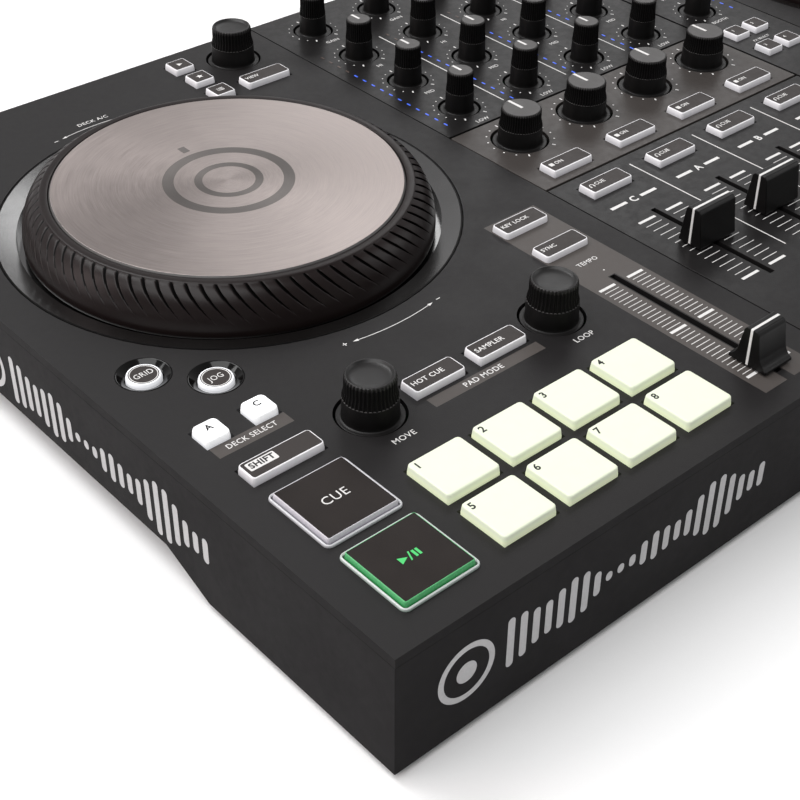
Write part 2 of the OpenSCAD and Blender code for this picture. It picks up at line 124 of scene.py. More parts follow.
area("softbox_top", (-0.95, -0.25, 1.45), (-0.05, 0.0, 0.0), 1.4, 1.4, 22.0)
area("softbox_far", (-0.42, 0.80, 1.28), (-0.05, 0.0, 0.0), 0.9, 0.9, 13.0)
area("softbox_left", (-1.5, 0.75, 0.55), (-0.1, 0.0, 0.0), 0.6, 1.1, 6.0, (1.0, 0.84, 0.82))
area("softbox_right", (1.5, -0.9, 1.0), (0.1, 0.0, 0.0), 0.8, 1.2, 6.0)
area("softbox_back", (1.10, 1.11, 1.035), (-0.03, -0.02, 0.0), 0.75, 0.55, 3.0)

world = bpy.data.worlds.new("studio")
scene.world = world
world.use_nodes = True
wt = world.node_tree
wco = wt.nodes.new("ShaderNodeTexCoord")
wsep = wt.nodes.new("ShaderNodeSeparateXYZ")
wramp = wt.nodes.new("ShaderNodeValToRGB")
wt.links.new(wco.outputs["Generated"], wsep.inputs[0])
wt.links.new(wsep.outputs[2], wramp.inputs[0])
stops = ((0.0, 0.50), (0.25, 0.66), (0.62, 0.44), (1.0, 0.34))
while len(wramp.color_ramp.elements) < len(stops):
    wramp.color_ramp.elements.new(0.5)
for e, (p, v) in zip(wramp.color_ramp.elements, stops):
    e.position, e.color = p, (v, v * 0.985, v * 0.99, 1)
wt.links.new(wramp.outputs[0], wt.nodes["Background"].inputs[0])
# dimmer on the side the camera stands on
wx = wt.nodes.new("ShaderNodeMath")
wx.operation = "MULTIPLY"
wx.inputs[1].default_value = 0.74
wt.links.new(wsep.outputs[1], wx.inputs[0])
wy = wt.nodes.new("ShaderNodeMath")
wy.operation = "MULTIPLY_ADD"
wy.inputs[1].default_value = 0.67
wt.links.new(wsep.outputs[0], wy.inputs[0])
wt.links.new(wx.outputs[0], wy.inputs[2])
wg = wt.nodes.new("ShaderNodeMapRange")
wg.inputs[1].default_value, wg.inputs[2].default_value = -1.0, 1.0
wg.inputs[3].default_value, wg.inputs[4].default_value = 0.30, 0.95
wt.links.new(wy.outputs[0], wg.inputs[0])
wt.links.new(wg.outputs[0], wt.nodes["Background"].inputs[1])


# ---------------------------------------------------------------- materials
class Mat:
    """A node material with small helpers."""

    def __init__(self, name):
        self.m = bpy.data.materials.new(name)
        self.m.use_nodes = True
        self.t = self.m.node_tree
        self.b = self.t.nodes["Principled BSDF"]
        self.co = self.t.nodes.new("ShaderNodeTexCoord").outputs["Object"]

    def node(self, kind, **sets):
        n = self.t.nodes.new(kind)
        for k, v in sets.items():
            if k.startswith("i_"):
                n.inputs[int(k[2:])].default_value = v
            else:
                setattr(n, k, v)
        return n

    def link(self, a, b):
        self.t.links.new(a, b)

    def noise(self, scale, detail=3.0, rough=0.55, vec=None):
        n = self.node("ShaderNodeTexNoise")
        n.inputs["Scale"].default_value = scale
        n.inputs["Detail"].default_value = detail
        n.inputs["Roughness"].default_value = rough
        self.link(vec or self.co, n.inputs["Vector"])
        return n.outputs["Fac"]

    def math(self, op, a, b=None, c=None):
        n = self.node("ShaderNodeMath", operation=op)
        for i, v in enumerate((a, b, c)):
            if v is None:
                continue
            if isinstance(v, (int, float)):
                n.inputs[i].default_value = v
            else:
                self.link(v, n.inputs[i])
        return n.outputs[0]

    def mix(self, fac, a, b):
        n = self.node("ShaderNodeMix", data_type="RGBA")
        for i, v in ((0, fac), (6, a), (7, b)):
            if isinstance(v, (int, float)):
                n.inputs[i].default_value = v
            elif isinstance(v, tuple):
                n.inputs[i].default_value = (*v, 1)
            else:
                self.link(v, n.inputs[i])
        return n.outputs[2]

    def sep(self):
        n = self.node("ShaderNodeSeparateXYZ")
        self.link(self.co, n.inputs[0])
        return n.outputs

    def range(self, v, a, b, c=0.0, d=1.0):
        n = self.node("ShaderNodeMapRange", i_1=a, i_2=b, i_3=c, i_4=d)
        n.interpolation_type = "SMOOTHSTEP"
        self.link(v, n.inputs[0])
        return n.outputs[0]

    def bump(self, height, distance):
        n = self.node("ShaderNodeBump")
        n.inputs["Strength"].default_value = 1.0
        n.inputs["Distance"].default_value = distance
        self.link(height, n.inputs["Height"])
        self.link(n.outputs[0], self.b.inputs["Normal"])

    def color(self, out):
        self.link(out, self.b.inputs["Base Color"])

    def rough(self, out):
        if isinstance(out, (int, float)):
            self.b.inputs["Roughness"].default_value = out
        else:
            self.link(out, self.b.inputs["Roughness"])

    def set(self, **kw):
        names = {"metal": "Metallic", "spec": "Specular IOR Level", "aniso": "Anisotropic",
                 "ior": "IOR", "emit": "Emission Strength"}
        for k, v in kw.items():
            self.b.inputs[names[k]].default_value = v


def plastic(name, dark, light, rough_a, rough_b, grain, depth, spec=0.5, coarse=45.0, ior=1.5):
    """Moulded plastic: fine grain in the bump, a slow drift in colour and gloss."""
    m = Mat(name)
    slow = m.noise(coarse, 4.0)
    m.color(m.mix(slow, dark, light))
    fine = m.noise(grain, 2.0, 0.6)
    wear = m.math("MULTIPLY_ADD", m.noise(grain * 0.13, 3.0), 0.35, m.math("MULTIPLY", slow, 0.65))
    m.rough(m.range(wear, 0.3, 0.7, rough_a, rough_b))
    m.bump(fine, depth)
    m.set(spec=spec, ior=ior)
    return m.m


M_CASE = plastic("case_plastic", (0.0074, 0.0066, 0.0069), (0.0096, 0.0086, 0.0089), 0.44, 0.54,
                 3200.0, 0.00003, 0.29)
M_SHELL = plastic("shell_plastic", (0.0072, 0.0064, 0.0068), (0.0095, 0.0085, 0.0090), 0.52, 0.62,
                  2600.0, 0.00004, 0.07)
M_WELL = plastic("well_plastic", (0.0045, 0.0041, 0.0040), (0.0058, 0.0053, 0.0051), 0.14, 0.20,
                 2600.0, 0.00001, 1.0, ior=1.9)
M_KNOB = plastic("knob_plastic", (0.0033, 0.0031, 0.0031), (0.0048, 0.0045, 0.0045), 0.38, 0.5,
                 3400.0, 0.00004, 0.17, 160.0)
# Light grey of the knob tops; on the ledge where a knob's flutes end it is a painted highlight.
M_KNOB_TOP_AND_LEDGE_GLINT = plastic("knob_top_and_ledge_glint", (0.060, 0.057, 0.056), (0.072, 0.069, 0.068), 0.42, 0.52,
                     3400.0, 0.00003, 0.4, 160.0)
M_SKIRT = plastic("knob_skirt", (0.0065, 0.0060, 0.0060), (0.0090, 0.0083, 0.0083), 0.36, 0.46,
                  3400.0, 0.00002, 0.26, 160.0)
M_CHAMFER = plastic("knob_chamfer", (0.016, 0.015, 0.0148), (0.021, 0.0198, 0.0195), 0.36, 0.46,
                    3400.0, 0.00002, 0.4, 160.0)
M_ENC_TOP = plastic("encoder_top", (0.009, 0.0085, 0.0085), (0.0125, 0.0118, 0.0118), 0.33, 0.42,
                    3400.0, 0.00002, 0.36, 160.0)
M_RIM = plastic("jog_rim", (0.0085, 0.0056, 0.0054), (0.0120, 0.0079, 0.0076), 0.30, 0.38,
                2600.0, 0.00002, 0.21)
# Near-black painted shade: the deep part of the jog rims' slits and the flat lip of the wells.
M_SHADE_BLACK = plastic("painted_shade_black", (0.0016, 0.0014, 0.0014), (0.0026, 0.0022, 0.0022), 0.42, 0.52,
                  2600.0, 0.00002, 0.08)
M_FADER = plastic("fader_plastic", (0.0022, 0.0020, 0.0020), (0.0034, 0.0031, 0.0031), 0.3, 0.42,
                  2800.0, 0.00003, 0.22, 120.0)
M_RUBBER = plastic("foot_rubber", (0.012, 0.012, 0.012), (0.02, 0.02, 0.02), 0.75, 0.9,
                   1800.0, 0.0001, 0.3)
M_INLAY = plastic("cap_inlay", (0.031, 0.0262, 0.0250), (0.041, 0.0350, 0.0330), 0.40, 0.52,
                  3600.0, 0.00002, 0.22, 220.0)
M_BIG_INLAY = plastic("transport_inlay", (0.0115, 0.0085, 0.0075), (0.017, 0.0125, 0.0110), 0.33, 0.45,
                      3600.0, 0.00002, 0.20, 120.0)
M_GLOSS = plastic("dish_gloss", (0.0018, 0.0018, 0.0018), (0.0030, 0.0029, 0.0029), 0.07, 0.14,
                  900.0, 0.00001, 0.32)
M_SOCKET = plastic("socket_plastic", (0.012, 0.012, 0.012), (0.02, 0.0195, 0.019), 0.35, 0.5,
                   2600.0, 0.00003, 0.5)
M_BOARD = plastic("board_mask", (0.004, 0.035, 0.014), (0.008, 0.06, 0.025), 0.3, 0.45,
                  1200.0, 0.00004, 0.5, 300.0)
M_STRIP = plastic("label_band", (0.062, 0.0542, 0.0506), (0.074, 0.0650, 0.0602), 0.40, 0.5,
                  3400.0, 0.00002, 0.28)


def panel_material():
    """The mixer panels: satin paint, warmer on the filter row."""
    m = Mat("panel_paint")
    slow = m.noise(38.0, 4.0)
    grey = m.mix(slow, (0.0078, 0.0072, 0.0074), (0.0102, 0.0094, 0.0095))
    warm = m.mix(slow, (0.044, 0.0385, 0.0360), (0.054, 0.0475, 0.0445))
    x, y, _ = m.sep()
    y0, y1 = (LO.y + edge * MM for edge in BAND_Y)
    x_end = LO.x + (PANEL_X + PANEL_W) * MM
    band = m.math("MULTIPLY", m.math("GREATER_THAN", y, y0), m.math("LESS_THAN", y, y1))
    band = m.math("MULTIPLY", band, m.math("LESS_THAN", x, x_end))
    m.color(m.mix(band, grey, warm))
    m.rough(m.range(m.noise(420.0, 3.0), 0.3, 0.7, 0.34, 0.43))
    m.bump(m.noise(3600.0, 2.0, 0.6), 0.00002)
    m.set(spec=0.25)
    return m.m


M_PANEL = panel_material()


def printed(name, a, b, rough=0.5, emit=0.0):
    """Ink or a small window, lit when emit is more than 0."""
    m = Mat(name)
    m.color(m.mix(m.noise(900.0, 3.0), a, b))
    m.rough(m.range(m.noise(1500.0, 2.0), 0.3, 0.7, rough - 0.07, rough + 0.07))
    m.bump(m.noise(2500.0, 2.0), 0.00001)
    if emit:
        m.b.inputs["Emission Color"].default_value = (*b, 1)
        m.set(emit=emit)
    return m.m


M_WHITE = printed("print_white", (0.62, 0.61, 0.60), (0.76, 0.75, 0.74))
# Black ink for words and marks; also the painted shadow at the bottom of the gaps between the panels.
M_INK_AND_SHADOW = printed("print_black_and_gap_shadow", (0.004, 0.004, 0.004), (0.008, 0.008, 0.008))
M_SILVER = printed("print_silver", (0.36, 0.355, 0.36), (0.46, 0.455, 0.46), 0.4)
M_GREEN = printed("print_green", (0.035, 0.36, 0.09), (0.055, 0.45, 0.125), 0.4, 0.45)
M_BLUE = printed("led_blue", (0.022, 0.07, 0.44), (0.04, 0.11, 0.66), 0.35, 0.55)
M_BROWN = printed("led_off", (0.045, 0.026, 0.020), (0.07, 0.040, 0.030), 0.35)


def lit_plastic(name, low, high, z0, z1, emit, rough=0.36):
    """Frosted, back-lit plastic: colour runs from low at z0 to high at z1 (mm above the panel)."""
    m = Mat(name)
    body = m.mix(m.range(m.sep()[2], z0 * MM, z1 * MM), low, high)
    dim = m.mix(m.noise(240.0, 4.0), (0.93, 0.93, 0.93), (1.0, 1.0, 1.0))
    n = m.node("ShaderNodeMix", data_type="RGBA", blend_type="MULTIPLY")
    n.inputs[0].default_value = 1.0
    m.link(body, n.inputs[6])
    m.link(dim, n.inputs[7])
    m.link(n.outputs[2], m.b.inputs["Base Color"])
    m.link(n.outputs[2], m.b.inputs["Emission Color"])
    m.set(emit=emit)
    m.rough(m.range(m.noise(700.0, 2.0), 0.3, 0.7, rough - 0.06, rough + 0.06))
    m.bump(m.noise(2200.0, 2.0), 0.00002)
    return m.m


M_CAP = lit_plastic("cap_frosted", (0.58, 0.57, 0.60), (0.80, 0.79, 0.81), -0.4, 1.9, 0.15)
M_CAP_LIT = lit_plastic("cap_lit", (0.80, 0.81, 0.84), (0.93, 0.94, 0.95), -0.4, 1.6, 0.42)
M_PAD = lit_plastic("pad_silicone", (0.80, 0.87, 0.58), (0.62, 0.66, 0.52), -0.6, 2.3, 0.36, 0.42)
M_CLEAR = lit_plastic("clear_frame", (0.22, 0.22, 0.235), (0.52, 0.52, 0.54), -0.2, 0.8, 0.08, 0.22)
M_CUE_EDGE = lit_plastic("cue_edge", (0.30, 0.29, 0.33), (0.60, 0.58, 0.62), -0.2, 2.0, 0.08, 0.26)
M_PLAY_EDGE = lit_plastic("play_edge", (0.015, 0.20, 0.05), (0.10, 0.42, 0.17), -0.2, 2.4, 0.16, 0.26)
M_PLAY_FRAME = lit_plastic("play_frame", (0.20, 0.30, 0.24), (0.52, 0.55, 0.54), -0.2, 0.8, 0.06, 0.22)


def alloy(name, base_a, base_b, rough_a, rough_b):
    """Concentric brushed metal. The piece's origin is on the axis of the brushing."""
    m = Mat(name)
    x, y, _ = m.sep()
    r = m.math("SQRT", m.math("ADD", m.math("MULTIPLY", x, x), m.math("MULTIPLY", y, y)))
    a = m.math("ARCTAN2", y, x)

    def hairs(density, sweep, detail):
        c = m.node("ShaderNodeCombineXYZ")
        m.link(m.math("MULTIPLY", r, density), c.inputs[0])
        m.link(m.math("MULTIPLY", m.math("SINE", a), sweep), c.inputs[1])
        m.link(m.math("MULTIPLY", m.math("COSINE", a), sweep), c.inputs[2])
        return m.noise(1.0, detail, 0.6, c.outputs[0])

    fine = hairs(6800.0, 5.0, 2.0)
    mid = hairs(1900.0, 2.6, 2.0)
    slow = m.noise(30.0, 3.0)
    f = m.math("MULTIPLY_ADD", mid, 0.25, m.math("MULTIPLY", slow, 0.25))
    f = m.math("MULTIPLY_ADD", fine, 0.5, f)
    m.color(m.mix(m.range(f, 0.3, 0.7), base_a, base_b))
    m.rough(m.range(f, 0.3, 0.7, rough_a, rough_b))
    m.bump(fine, 0.000006)
    tan = m.node("ShaderNodeTangent", direction_type="RADIAL", axis="Z")
    m.link(tan.outputs[0], m.b.inputs["Tangent"])
    m.set(metal=1.0, aniso=0.5)
    return m.m


M_ALLOY = alloy("jog_alloy", (0.335, 0.294, 0.282), (0.455, 0.398, 0.380), 0.31, 0.42)
M_EMBLEM = alloy("jog_mark", (0.150, 0.138, 0.132), (0.185, 0.170, 0.163), 0.42, 0.5)


def steel(name, a, b):
    """Plain machined metal."""
    m = Mat(name)
    m.color(m.mix(m.noise(260.0, 4.0), a, b))
    m.rough(m.range(m.noise(900.0, 3.0), 0.3, 0.7, 0.26, 0.42))
    m.bump(m.noise(1400.0, 2.0), 0.00003)
    m.set(metal=1.0)
    return m.m


M_STEEL = steel("control_metal", (0.020, 0.020, 0.021), (0.034, 0.034, 0.035))
M_SCREW = steel("screw_black", (0.06, 0.06, 0.062), (0.10, 0.10, 0.102))

# ---------------------------------------------------------------- mesh building
def turn(n):
    """n equal angles once round a circle."""
    return [2 * math.pi * i / n for i in range(n)]


def bands(rows, n, closed=False):
    """Quads between neighbouring rows of n points; closed joins the last row to the first."""
    faces = []
    for i in range(rows if closed else rows - 1):
        up = (i + 1) % rows * n
        for j in range(n):
            t = (j + 1) % n
            faces.append([i * n + j, i * n + t, up + t, up + j])
    return faces


def prism_faces(n):
    """Faces of a prism: its first n points are one outline, the next n the other."""
    sides = [[i, (i + 1) % n, n + (i + 1) % n, n + i] for i in range(n)]
    return [list(range(n))[::-1], list(range(n, 2 * n))] + sides


def make_mesh(name, verts, faces, kinds, angle, recalc=False):
    """A mesh from points in mm; kinds holds each face's material; smooth below angle degrees."""
    me = bpy.data.meshes.new(name)
    me.from_pydata([Vector(p) * MM for p in verts], [], faces)
    slots = {material: i for i, material in enumerate(dict.fromkeys(kinds))}
    for material in slots:
        me.materials.append(material)
    me.polygons.foreach_set("material_index", [slots[k] for k in kinds])
    if recalc:
        bm = bmesh.new()
        bm.from_mesh(me)
        bmesh.ops.recalc_face_normals(bm, faces=bm.faces)
        bm.to_mesh(me)
        bm.free()
    else:
        me.validate()
    me.shade_smooth()
    me.set_sharp_from_angle(angle=math.radians(angle))
    me.update()
    return me


def even_normals(ob):
    """Flat faces stay flat where a rounded edge meets them."""
    w = ob.modifiers.new("even_normals", "WEIGHTED_NORMAL")
    w.keep_sharp = True
    w.weight = 90


def put(name, me, location, body, replaces=(), even=True):
    """Makes a piece that rides on a body and stands in for CAD nodes."""
    ob = bpy.data.objects.new(name, me)
    ob.location = location
    scene.collection.objects.link(ob)
    if even:
        even_normals(ob)
    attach(ob, body)
    if replaces:
        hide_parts(*replaces)
    return ob


class Build:
    """Collects closed shells in mm and makes one object of them."""

    def __init__(self, origin=None):
        self.v, self.f, self.k = [], [], []
        self.origin = origin if origin is not None else W(0, 0)

    def add(self, verts, faces, mat):
        """mat is one material, or a list with one for each face."""
        n = len(self.v)
        self.v += verts
        self.f += [[j + n for j in face] for face in faces]
        self.k += mat if isinstance(mat, list) else [mat] * len(faces)

    def loft(self, loops, mats):
        """Joins loops of equal length in bands and closes both ends; mats may list the bands'."""
        n, rows = len(loops[0]), len(loops)
        if not isinstance(mats, list):
            mats = [mats] * (rows - 1)
        ends = [list(range(n))[::-1], list(range((rows - 1) * n, rows * n))]
        kinds = [m for m in mats for _ in range(n)] + [mats[0], mats[-1]]
        self.add([p for loop in loops for p in loop], bands(rows, n) + ends, kinds)

    def lathe(self, profile, mats, seg, cx=0.0, cy=0.0):
        """A solid turned from (r, z) points that rise up its outside."""
        self.loft([[(cx + r * math.cos(a), cy + r * math.sin(a), z) for a in turn(seg)]
                   for r, z in profile], mats)

    def ring(self, section, mat, seg, cx=0.0, cy=0.0):
        """A ring whose section is a closed polygon, counterclockwise in (r, z)."""
        verts = [(cx + r * math.cos(a), cy + r * math.sin(a), z) for a in turn(seg) for r, z in section]
        self.add(verts, [face[::-1] for face in bands(seg, len(section), True)], mat)

    def slab(self, outline, z0, z1, mat):
        verts = [(x, y, z) for z in (z0, z1) for x, y in outline]
        self.add(verts, prism_faces(len(outline)), mat)

    def bar(self, x, y, w, d, mat, z0=PRINT_LOW, z1=PRINT_HIGH, angle=0.0):
        c, s = math.cos(angle), math.sin(angle)
        pts = [(-w / 2, -d / 2), (w / 2, -d / 2), (w / 2, d / 2), (-w / 2, d / 2)]
        self.slab([(x + c * p - s * q, y + s * p + c * q) for p, q in pts], z0, z1, mat)

    def dot(self, x, y, r, mat, z0=PRINT_LOW, z1=PRINT_HIGH, n=12):
        self.slab([(x + r * math.cos(a), y + r * math.sin(a)) for a in turn(n)], z0, z1, mat)

    def words(self, text, x, y, size, mat, z0=PRINT_LOW, z1=PRINT_HIGH, align="CENTER", wide=1.0,
              bold=0.0):
        verts, faces = letters(text, align, bold)
        out = [(x + p[0] * size * wide, y + p[1] * size, z1 if p[2] > 0 else z0) for p in verts]
        self.add(out, faces, mat)

    def make(self, name, body, replaces=(), angle=32.0):
        me = make_mesh(name, self.v, self.f, self.k, angle)
        return put(name, me, self.origin, body, replaces)


known_letters = {}


def letters(text, align, bold):
    """The built-in font's outlines of a word as a thin closed mesh, one unit high."""
    key = (text, align, bold)
    if key not in known_letters:
        cu = bpy.data.curves.new("word", "FONT")
        cu.body = text
        cu.size = 1.0
        cu.align_x = align
        cu.align_y = "CENTER"
        cu.extrude = 0.01
        cu.offset = bold
        cu.space_character = 1.08
        cu.resolution_u = 3
        ob = bpy.data.objects.new("word", cu)
        scene.collection.objects.link(ob)
        shown = ob.evaluated_get(bpy.context.evaluated_depsgraph_get())
        me = shown.to_mesh()
        verts = [tuple(v.co) for v in me.vertices]
        faces = [list(p.vertices) for p in me.polygons]
        shown.to_mesh_clear()
        bpy.data.objects.remove(ob)
        bpy.data.curves.remove(cu)
        known_letters[key] = (verts, faces)
    return known_letters[key]


def rrect(cx, cy, w, d, r, z, n=5):
    """A rectangle with round corners of n steps each, at height z."""
    pts = []
    for qx, qy, a0 in ((1, -1, -90), (1, 1, 0), (-1, 1, 90), (-1, -1, 180)):
        ox, oy = cx + qx * (w / 2 - r), cy + qy * (d / 2 - r)
        for i in range(n + 1):
            a = math.radians(a0 + 90 * i / n)
            pts.append((ox + r * math.cos(a), oy + r * math.sin(a), z))
    return pts


def islands(node):
    """Middle, size and top in mm of each solid in a CAD node, from front left to rear right."""
    me = NODES[node].data
    ids, parent = {}, []

    def find(i):
        while parent[i] != i:
            parent[i] = parent[parent[i]]
            i = parent[i]
        return i

    own = []
    for v in me.vertices:
        key = tuple(round(c * 1e6) for c in v.co)
        if key not in ids:
            ids[key] = len(parent)
            parent.append(len(parent))
        own.append(ids[key])
    for p in me.polygons:
        first, *rest = [own[i] for i in p.vertices]
        for i in rest:
            parent[find(i)] = find(first)
    boxes = {}
    for v, i in zip(me.vertices, own):
        b = boxes.setdefault(find(i), [Vector((9, 9, 9)), Vector((-9, -9, -9))])
        b[0] = Vector(map(min, b[0], v.co))
        b[1] = Vector(map(max, b[1], v.co))
    out = []
    for a, b in boxes.values():
        m, s = (a + b) / 2, (b - a) / MM
        out.append(((m.x - LO.x) / MM, (m.y - LO.y) / MM, s.x, s.y, (b.z - TOP) / MM))
    return sorted(out, key=lambda t: (round(t[1]), t[0]))


def nearest(rows, x, y):
    return min(rows, key=lambda t: (t[0] - x) ** 2 + (t[1] - y) ** 2)


# ---------------------------------------------------------------- key caps
CAP_FOOT = -4.0  # caps and pads run this far below the top face
WIDE_KEY = 15.0  # keys wider than this carry words, narrower ones a mark


def stacked(isl, steps):
    """Rounded outlines of a key, one above the other, from steps of (inset, corner, z)."""
    x, y, w, d, _ = isl
    return [rrect(x, y, w - inset, d - inset, corner, z) for inset, corner, z in steps]


def key_cap(b, isl, corner=1.4):
    """A frosted cap with a dark printed top inside a thin light outline."""
    h = isl[4]
    t, rim = 0.6, 1.24
    b.loft(stacked(isl, ((0, corner, CAP_FOOT), (0, corner, 0.15), (t - 0.22, corner * 0.95, h - 0.34),
                         (t - 0.04, corner * 0.9, h - 0.12), (t + 0.24, corner * 0.8, h),
                         (rim, corner * 0.55, h - 0.002), (rim + 0.06, corner * 0.55, h - 0.03))),
           [M_CAP] * 5 + [M_INLAY])


def plain_cap(b, isl, mat, corner, taper):
    """A cap of one material with a soft rounded top."""
    x, y, w, d, h = isl
    steps = [(0.0, CAP_FOOT), (0.0, 0.15), (taper * 0.6, h - 0.6), (taper * 0.8, h - 0.3),
             (taper + 0.08, h - 0.1), (taper + 0.32, h - 0.01), (taper + 0.8, h)]
    b.loft([rrect(x, y, w - 2 * t, d - 2 * t, max(corner - t * 0.5, 0.4), z, 6) for t, z in steps], mat)


def star(x, y, r, inner=0.45, n=5):
    radii = [r if i % 2 == 0 else r * inner for i in range(2 * n)]
    return [(x + q * math.sin(math.pi * i / n), y + q * math.cos(math.pi * i / n))
            for i, q in enumerate(radii)]


def key_word(b, isl, text, size, dx, dy, align="CENTER", mat=M_WHITE, bold=0.012):
    x, y, _, _, h = isl
    b.words(text, x + dx, y + dy, size, mat, h - 0.06, h + 0.03, align, 1.0, bold)


def shift_key(b, isl):
    """The shift key: its word stands dark on a small light plate."""
    x, y, _, _, h = isl
    x -= 5.8
    y += 0.9
    key_cap(b, isl)
    b.loft([rrect(x, y, 9.3, 3.4, 0.4, z) for z in (h - 0.08, h + 0.02)], M_WHITE)
    b.words("SHIFT", x, y, 3.0, M_INK_AND_SHADOW, h - 0.03, h + 0.06, "CENTER", 1.0, 0.03)


def round_key(b, isl, text):
    """A round lit cap with a dark top, a fine ring and a word."""
    cx, cy, w, _, h = isl
    r = w / 2
    b.lathe([(r, CAP_FOOT), (r, -1.0), (r - 0.1, -0.7), (r - 0.28, h - 0.2), (r - 0.36, h - 0.06),
             (r - 0.48, h), (r - 0.80, h), (r - 0.84, h - 0.03)], [M_CAP_LIT] * 6 + [M_INLAY], 72, cx, cy)
    b.ring([(r - 1.36, h - 0.06), (r - 1.10, h - 0.06), (r - 1.10, h + 0.02), (r - 1.36, h + 0.02)],
           M_WHITE, 72, cx, cy)
    b.words(text, cx, cy, 3.1, M_WHITE, h - 0.06, h + 0.02, "CENTER", 0.84, 0.0)


def icon(b, what, cx, cy, h):
    """The mark on a small square key: play, star or list."""
    if what == "play":
        b.slab([(cx - 0.9, cy - 1.1), (cx + 1.2, cy), (cx - 0.9, cy + 1.1)], h - 0.05, h + 0.03, M_WHITE)
    elif what == "star":
        b.slab(star(cx, cy, 1.5), h - 0.05, h + 0.03, M_WHITE)
    else:
        for k in (-0.8, 0.0, 0.8):
            b.bar(cx + 0.35, cy + k, 2.0, 0.36, M_WHITE, h - 0.05, h)
            b.bar(cx - 1.25, cy + k, 0.45, 0.36, M_WHITE, h - 0.05, h)


def deck_buttons(side, x0):
    node = f"deck_buttons_{side}"
    rows = islands(node)
    b = Build()

    def at(x, y):
        return nearest(rows, x0 + x, y)

    for x, y, text, size, dy in ((78.4, 73.8, "HOT CUE", 2.6, 0.0), (102.4, 73.8, "SAMPLER", 2.6, 0.0),
                                 (156.2, 117.4, "KEY LOCK", 2.35, 0.35), (156.2, 99.1, "SYNC", 2.35, 0.35),
                                 (156.6, 257.3, "VIEW", 2.35, 0.35)):
        isl = at(x, y)
        key_cap(b, isl)
        key_word(b, isl, text, size, -isl[2] / 2 + 1.5, dy, "LEFT")
    shift_key(b, at(24.2, 74.3))
    for y, what in ((283, "play"), (270, "star"), (257, "list")):
        isl = at(136.2, y)
        key_cap(b, isl, 0.9)
        icon(b, what, isl[0], isl[1], isl[4])
    for x, text in zip((15.9, 32.0), "AC" if side == "left" else "BD"):
        isl = at(x, 94.4)
        plain_cap(b, isl, M_CAP_LIT, 1.7, 0.3)
        key_word(b, isl, text, 3.2, 0, 1.0, mat=M_INK_AND_SHADOW, bold=0.03)
    for x, y, text in ROUND_CAPS:
        round_key(b, at(x, y), text)
    b.make(f"deck_keys_{side}", node, [node])


def pads(side):
    node = f"pads_{side}"
    rows = islands(node)
    b = Build()
    for isl in rows:
        plain_cap(b, isl, M_PAD, 1.35, 0.35)
    front = min(r[1] for r in rows)
    order = sorted(r for r in rows if r[1] > front + 3) + sorted(r for r in rows if r[1] <= front + 3)
    for i, (x, y, w, d, h) in enumerate(order):
        b.words(str(i + 1), x - w / 2 + 2.1, y + d / 2 - 2.8, 3.5, M_INK_AND_SHADOW, h - 0.05, h + 0.04,
                "CENTER", 1.0, 0.024)
    b.make(f"pad_keys_{side}", node, [node], 40.0)


def transport(side, what):
    """The big cue or play key."""
    node = f"{what}_{side}"
    isl = islands(node)[0]
    x, y, _, _, h = isl
    edge = M_PLAY_EDGE if what == "play" else M_CUE_EDGE
    b = Build()
    b.loft(stacked(isl, ((0, 0.9, CAP_FOOT), (0, 0.9, 0.1), (0.2, 0.85, 0.85), (0.5, 0.7, h - 0.42),
                         (0.66, 0.6, h - 0.12), (0.84, 0.5, h), (1.08, 0.35, h - 0.002),
                         (1.14, 0.35, h - 0.03))), [edge] * 6 + [M_BIG_INLAY])
    if what == "play":
        for outline in ([(x - 3.3, y - 1.25), (x - 0.8, y), (x - 3.3, y + 1.25)],
                        [(x - 0.75, y - 1.5), (x - 0.3, y - 1.5), (x + 0.75, y + 1.5), (x + 0.3, y + 1.5)]):
            b.slab(outline, h - 0.06, h + 0.03, M_GREEN)
        for dx in (1.55, 2.75):
            b.bar(x + dx, y, 0.75, 2.5, M_GREEN, h - 0.06, h)
    else:
        b.words("CUE", x, y, 4.3, M_WHITE, h - 0.06, h + 0.03, "CENTER", 1.0, -0.004)
    b.make(f"{what}_key_{side}", node, [node])


def headphones(b, cx, cy, h):
    """A small headphone mark: a half ring and two ear pieces."""
    half = [math.pi * i / 10 for i in range(11)]
    arch = [(cx + r * math.cos(a), cy + r * math.sin(a)) for r, way in ((1.0, half), (0.72, half[::-1]))
            for a in way]
    b.slab(arch, h - 0.05, h + 0.03, M_WHITE)
    for dx in (-0.8, 0.8):
        b.bar(cx + dx, cy - 0.45, 0.55, 0.95, M_WHITE, h - 0.05, h)


